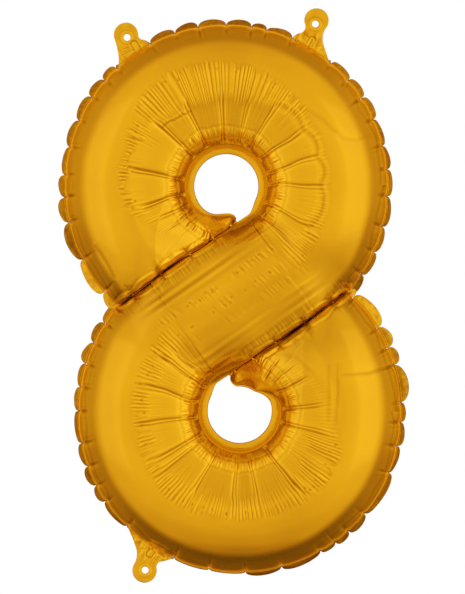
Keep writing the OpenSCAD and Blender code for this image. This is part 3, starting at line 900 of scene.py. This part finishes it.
def tab(body, seed):
    _, _, feet, head, hole, seam_feet = TABS[body]
    outline = tab_outline(feet, head, seam_feet, body == "top_left_tab")
    ring = [np.array(hole) + HOLE_R * polar(a) for a in np.arange(0, 360, 7.5)]
    poly = np.array(outline)
    step = 0.5
    gx, gy = np.meshgrid(*(np.arange(lo, hi, step) for lo, hi in zip(poly.min(0), poly.max(0))))
    pts = [Vector(p) for p in outline + ring]
    n_out, n_ring = len(outline), len(ring)
    edges = [(i, (i + 1) % n_out) for i in range(n_out)] + [
        (n_out + i, n_out + (i + 1) % n_ring) for i in range(n_ring)]
    for x, y in zip(gx.ravel(), gy.ravel()):
        c = np.array([x, y])
        if (inside_poly(poly, c) and np.min(np.hypot(*(poly - c).T)) > step * 0.6
                and math.hypot(x - hole[0], y - hole[1]) > HOLE_R + step * 0.6):
            pts.append(Vector((x, y)))
    co, _, tris, *_ = delaunay_2d_cdt(pts, edges, [], 0, 1e-5)
    co = np.array([tuple(c) for c in co])
    keep = []
    for f in tris:
        c = co[list(f)].mean(0)
        if math.hypot(*(c - np.array(hole))) > HOLE_R * 0.97 and inside_poly(poly, c):
            keep.append(list(f))
    u, w = co[:, 0], co[:, 1]
    h = tab_relief(body, seed, u, w)
    ob = make_mesh(body + "_film", at_tab(body, u, w, -h), keep)
    if ob.data.polygons[0].normal[1] > 0:
        ob.data.flip_normals()
    # painted shade in the tab's hollows and painted highlights on its ridges, from how far each point lies
    # below its neighbours
    hollow = sum(tab_relief(body, seed, u + du, w + dw) - h
                 for du, dw in ((step, 0), (-step, 0), (0, step), (0, -step)))
    set_shade(ob.data, np.clip(0.96 - 0.8 * hollow, 0.6, 1.08))
    two_plies(ob, TAB_PLIES)
    ob.data.materials.clear()
    ob.data.materials.append(tab_gold)
    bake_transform(ob)
    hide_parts(body)


def inside_poly(poly, c):
    j = np.roll(poly, -1, 0)
    hit = ((poly[:, 1] > c[1]) != (j[:, 1] > c[1])) & (
        c[0] < (j[:, 0] - poly[:, 0]) * (c[1] - poly[:, 1]) / (j[:, 1] - poly[:, 1] + 1e-12) + poly[:, 0])
    return hit.sum() % 2 == 1


for i, body in enumerate(TABS):
    tab(body, 80 + i)

# ---- eye seals, with the strips along the slits
EYE_MARGIN_CLEAR = 0.3                      # from the band's slit to the eye's own edge
KNOT_Y = (6.0, 15.5, 19.0, 19.5, 13.0)      # how far each tie's gathers stand out
RING_STEP, STRIP_STEP = 0.75, 0.7           # in turn and in mm
STRIP_FROM, STRIP_TO = 7.5, 104.0           # from the slit's mouth


def free_edge(p, loop):
    """The eye's own edge: the hole in the seal."""
    start, _, shrink = TONGUES[loop][1:]
    late = film_in(p, loop) - EYE_MARGIN * (1 - 0.8 * ease((p - start) / shrink))
    early = EYE_R + (slit_r + EYE_MARGIN_CLEAR - EYE_R) * fade(p / 30)
    return np.where(p > start, late, early)


def eye_seal(node, loop, seed):
    """The flat ring round the eye's hole, both strips along the slit, and the ties across it."""
    p = np.arange(0, TONGUE_END + 0.05, RING_STEP)
    rows = np.linspace(0, 1, 9)[None, :]
    a = free_edge(p, loop)
    b = np.maximum(film_in(p, loop) + 1.1 * ease(p / 20) * fade((p - 325) / 12) + 0.15, a + 0.3)
    r = a[:, None] + (b - a)[:, None] * rows
    y = -0.55 * np.sin(np.pi * rows) * ease(p / 25)[:, None] * fade((p - 310) / 25)[:, None]
    y += 0.16 * noise2(p[:, None] / 11, rows * 2 + 5, seed) * (1 - rows ** 3)
    y += 0.05 * noise1(p / 1.6, seed + 1)[:, None] * rows ** 2
    x, z = round_eye(p[:, None], r)
    pieces = [grid_mesh("ring", world(loop * x, y, loop * z))]

    def by_slit(name, t, off, y):
        """A mesh at distance t from the slit's mouth, off from its line and y out of the plane."""
        off = slit_r + off
        pieces.append(grid_mesh(name, world(loop * (EYE[0] - t * ALONG[0] + off * FIRST[0]), y,
                                            loop * (EYE[1] - t * ALONG[1] + off * FIRST[1]))))

    for side in (1, -1):
        w0, w1 = -0.7, (COVER + 0.1 if side > 0 else 1.6)
        t, off = np.meshgrid(np.arange(STRIP_FROM, STRIP_TO, STRIP_STEP),
                             side * (w0 + (w1 - w0) * np.linspace(0, 1, 4)), indexing="ij")
        y = side * 0.25 + 0.15 * noise1(t / 2.1, seed + 5 + side) * np.linspace(1, 0, 4)[None, :]
        by_slit("strip", t, off + slit_wander(t), y)
    for k, tk in enumerate(TIES):
        # a tie: the uncut seal across the slit, gathered into a small knot
        th, ph = np.meshgrid(np.linspace(0, np.pi, 16), np.linspace(0, math.tau, 22), indexing="ij")
        lump = 1 + 0.16 * noise2(th * 2.2, ph * 1.6, seed + 60 + k)
        lx, ly, lz = (lump * np.cos(th) * 1.35, lump * np.sin(th) * np.cos(ph) * 1.3,
                      lump * np.sin(th) * np.sin(ph) * 1.0)
        for face in (-1, 1):
            by_slit("knot", tk + lz, slit_wander(np.array([float(tk)]))[0] + lx, ly + face * KNOT_Y[k])
    for ob in pieces[:3]:
        two_plies(ob, SEAL_PLIES)
    dress(joined(pieces, node + "_film"), seal_gold, "envelope", "gold_seal", node)


eye_seal("upper_eye_seal", 1, 301)
eye_seal("lower_eye_seal", -1, 331)

clear = plain_material("clear_valve_film", Base_Color=(0.85, 0.87, 0.88, 1), Roughness=0.25, Alpha=0.5)


def neck_and_valve(seed):
    """The two plies that lap the seal's gap at the bottom tab, and the valve's films behind them."""
    u, w = np.meshgrid(np.linspace(-7.9, 7.9, 40), np.linspace(-3.6, -1.5, 8), indexing="ij")
    w = w + np.sqrt(LOOP_R ** 2 - u * u) - LOOP_R
    h = tab_relief("bottom_tab", seed, u, w)
    for face, node in ((-1, "neck_front_ply"), (1, "neck_back_ply")):
        ob = grid_mesh(node + "_film", at_tab("bottom_tab", u, w, face * 0.17 - h))
        two_plies(ob, NECK_PLY)
        dress(ob, seal_gold, "envelope", "gold_seal", node)
    u, w = np.meshgrid(np.linspace(-6, 6, 17), np.linspace(-46.5, -3.8, 64), indexing="ij")
    slack = ease((-w - 8) / 20)
    h = tab_relief("bottom_tab", seed, u, w) * ease((w + 6.5) / 2.5)
    for face, node in ((-1, "valve_front_film"), (1, "valve_back_film")):
        bow = face * (0.03 + 1.3 * slack * (1 - (u / 6) ** 2) * (0.6 + 0.4 * noise1(w / 14, 61)))
        bow = bow + 2.0 * slack * noise1(w / 30, 62) - h
        ob = grid_mesh(node + "_sheet", at_tab("bottom_tab", u, w, bow))
        two_plies(ob, VALVE_PLY)
        dress(ob, clear, "envelope", "clear_film", node)


neck_and_valve(82)

# ---- floor, light and camera
FLOOR_HALF, FLOOR_DROP = 0.7, 0.72      # in m
FILM_LIGHT = 1.094                      # how bright the film's surroundings are
SOFTBOX_W, SOFTBOX_SIZE, SOFTBOX_AT = 0.9, (1.6, 2.2), (1.7, -1.1, 0.2)
CAMERA_AWAY = 2.4

scene = bpy.context.scene
centre = world(0.0, 0.0, 0.0)
floor = make_mesh("floor", [(centre[0] + i * FLOOR_HALF, j * FLOOR_HALF, centre[2] - FLOOR_DROP)
                            for i, j in ((-1, -1), (1, -1), (1, 1), (-1, 1))], [(0, 1, 2, 3)])
floor.data.materials.append(plain_material("pale_floor", Base_Color=(0.72, 0.73, 0.73, 1), Roughness=0.8))
floor.visible_glossy = False

scene.view_settings.view_transform = "Standard"
scene.world = bpy.data.worlds.new("studio")
scene.world.use_nodes = True
nodes, links = scene.world.node_tree.nodes, scene.world.node_tree.links
nodes.clear()
studio, seen, lit = (nodes.new("ShaderNode" + kind) for kind in ("MixShader", "Background", "Background"))
seen.inputs[0].default_value = (1, 1, 1, 1)
lit.inputs[1].default_value = FILM_LIGHT
# the film mirrors the warm surroundings; everything else is lit by a plain white studio
links.new(nodes.new("ShaderNodeLightPath").outputs["Is Glossy Ray"], studio.inputs[0])
links.new(seen.outputs[0], studio.inputs[1])
links.new(lit.outputs[0], studio.inputs[2])
links.new(studio.outputs[0], nodes.new("ShaderNodeOutputWorld").inputs[0])
direction = nodes.new("ShaderNodeSeparateXYZ")
links.new(nodes.new("ShaderNodeTexCoord").outputs["Generated"], direction.inputs[0])


def ramp_node(src, lo, hi, stops, smooth=True):
    """A colour ramp over src, from lo to hi, through stops of place and grey or colour."""
    span = nodes.new("ShaderNodeMapRange")
    put(span, {"From Min": lo, "From Max": hi})
    links.new(src, span.inputs["Value"])
    ramp = nodes.new("ShaderNodeValToRGB")
    ramp.color_ramp.interpolation = "EASE" if smooth else "LINEAR"
    el = ramp.color_ramp.elements
    while len(el) > 1:
        el.remove(el[-1])
    for k, (pos, col) in enumerate(stops):
        at = (pos - lo) / (hi - lo)
        stop = el[0] if k == 0 else el.new(at)
        stop.position = at
        stop.color = (*col, 1) if hasattr(col, "__len__") else (col, col, col, 1)
    links.new(span.outputs[0], ramp.inputs[0])
    return ramp.outputs[0]


def times(a, b):
    product = nodes.new("ShaderNodeMath")
    product.operation = "MULTIPLY"
    links.new(a, product.inputs[0])
    links.new(b, product.inputs[1])
    return product.outputs[0]


side_to_side = ramp_node(direction.outputs["X"], -1, 1, [
    (-1, .85), (-.9, .85), (-.55, .91), (-.2, .88), (0, .83), (.2, .88), (.6, .95), (1, .93)])
up_and_down = ramp_node(direction.outputs["Z"], -1, 1, [
    (-1, .52), (-.85, .74), (-.5, .89), (-.15, .98), (0, .96), (.15, .98), (.5, .93), (.8, .87), (1, .80)])
behind_it = ramp_node(direction.outputs["Z"], -1, 1, [
    (-1, .13), (-.85, .2), (-.45, .42), (0, .60), (.5, .60), (.85, .49), (1, .46)])
far_back = ramp_node(direction.outputs["Y"], -1, 1, [(-1, 1), (.45, 1), (.72, .85), (.9, 1.35), (1, 1.45)])
behind = nodes.new("ShaderNodeMapRange")
behind.interpolation_type = "SMOOTHSTEP"
put(behind, {"From Min": -0.18, "From Max": 0.20})
links.new(direction.outputs["Y"], behind.inputs["Value"])
around = nodes.new("ShaderNodeMix")
around.data_type = "FLOAT"
links.new(behind.outputs[0], around.inputs["Factor"])
links.new(times(side_to_side, up_and_down), around.inputs["A"])
links.new(times(behind_it, far_back), around.inputs["B"])
# the dimmer the surroundings, the warmer they are: (brightness, green and blue against white light)
WARMTH = ((0, .55, .1), (.235, .60, .25), (.49, .70, .5), (.73, .88, .8), (.94, 1.0, .95), (1.0, 1.0, 1.0))
links.new(ramp_node(around.outputs["Result"], 0, 1, [
    (v, (v, v * green * WARM[1], v * blue * WARM[2])) for v, green, blue in WARMTH], smooth=False),
    lit.inputs[0])

for side in (-1, 1):
    light = bpy.data.lights.new("softbox", "AREA")
    light.shape = "RECTANGLE"
    light.size, light.size_y = SOFTBOX_SIZE
    light.energy = SOFTBOX_W
    softbox = bpy.data.objects.new("softbox", light)
    scene.collection.objects.link(softbox)
    softbox.location = (centre[0] + side * SOFTBOX_AT[0], SOFTBOX_AT[1], centre[2] + SOFTBOX_AT[2])
    aim = Vector((centre[0], 0, centre[2])) - softbox.location
    softbox.rotation_euler = aim.to_track_quat("-Z", "Y").to_euler()
    softbox.visible_camera = False

lens = bpy.data.cameras.new("camera")
camera = bpy.data.objects.new("camera", lens)
scene.collection.objects.link(camera)
lens.sensor_width = 36
lens.lens = 36 * CAMERA_AWAY / (SHOT[1] * MM_PER_PX * MM)
lens.clip_end = 20
camera.location = (centre[0] - 0.5 * MM_PER_PX * MM, -CAMERA_AWAY, centre[2] + 1.5 * MM_PER_PX * MM)
camera.rotation_euler = (math.radians(90), 0, 0)
scene.camera = camera
